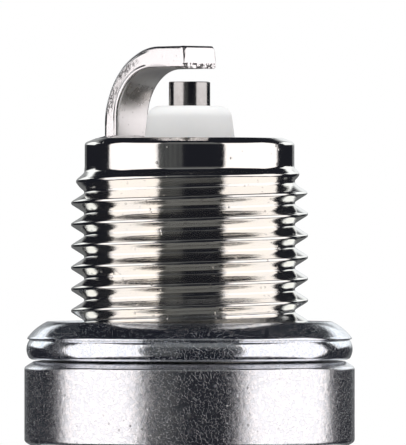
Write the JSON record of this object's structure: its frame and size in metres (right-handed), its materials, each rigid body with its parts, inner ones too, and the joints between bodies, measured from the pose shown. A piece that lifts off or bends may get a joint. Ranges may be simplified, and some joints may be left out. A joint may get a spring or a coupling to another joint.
{
  "type": "spark plug",
  "caption": "Resistor spark plug with a 14 mm thread, hexagon shell, folded seat gasket, ribbed insulator, hooked ground electrode and a removable terminal nut.",
  "frame": {"origin": "on the plug's axis, in the plane of the gasket's sealing face, where the cylinder head meets the plug", "axes": "+Z along the thread towards the firing end; -X towards the ground electrode's weld, +X the way its arm points"},
  "size_m": [0.0238, 0.0208, 0.0701],
  "materials": {
    "shell_steel": "turned and rolled low-carbon steel, bright nickel-zinc plate",
    "gasket_steel": "folded sheet steel, satin zinc plate",
    "electrode_nickel": "drawn nickel alloy, cropped end, faint drawing lines",
    "copper": "copper, pressed into the nickel sheath",
    "alumina": "white alumina, matt at the nose and glazed above the crimp",
    "packing_steel": "plain steel wire and sheet",
    "talc": "pressed talc powder",
    "copper_glass": "copper-filled glass, fused",
    "resistor_glass": "carbon-filled glass, fused",
    "stud_steel": "cold-headed steel, nickel plate",
    "nut_steel": "turned steel, nickel plate"
  },
  "bodies": {
    "plug": {"shell": "shell_steel", "ground_electrode": "electrode_nickel", "insulator": "alumina", "center_electrode": "electrode_nickel", "copper_core": "copper", "seat_packing": "packing_steel", "lower_packing_ring": "packing_steel", "upper_packing_ring": "packing_steel", "talc": "talc", "lower_glass_seal": "copper_glass", "upper_glass_seal": "copper_glass", "resistor": "resistor_glass", "terminal_stud": "stud_steel"},
    "gasket": {"gasket": "gasket_steel"},
    "terminal_nut": {"terminal_nut": "nut_steel"}
  },
  "joints": [
    {"name": "gasket_spin", "type": "hinge", "parent": "plug", "child": "gasket", "pos_m": [0, 0, 0], "axis": [0, 0, 1], "continuous": true},
    {"name": "nut_removal", "type": "slide", "parent": "plug", "child": "terminal_nut", "axis": [0, 0, -1], "range_m": [0, 0.0105]}
  ]
}
